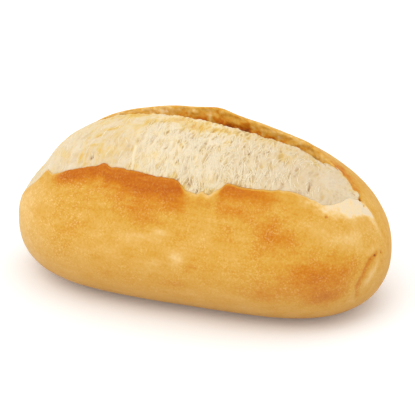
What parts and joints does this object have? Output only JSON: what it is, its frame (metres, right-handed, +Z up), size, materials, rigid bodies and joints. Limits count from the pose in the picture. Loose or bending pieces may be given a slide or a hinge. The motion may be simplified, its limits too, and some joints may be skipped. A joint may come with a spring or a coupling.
{
  "type": "bread roll",
  "caption": "Long crusty white bread roll with one deep score along its top, a raised crust ear, pale torn crumb and a flat base.",
  "frame": {"origin": "centre of the bounding box's bottom, in the plane of the flat base that the roll rests on", "axes": "+X along the roll, -Y the side of the score's lower lip, +Z up"},
  "size_m": [0.14, 0.075, 0.0656],
  "materials": {
    "crust": "satin",
    "crumb": "matte"
  },
  "bodies": {
    "root": {"roll": "crust"}
  },
  "joints": []
}
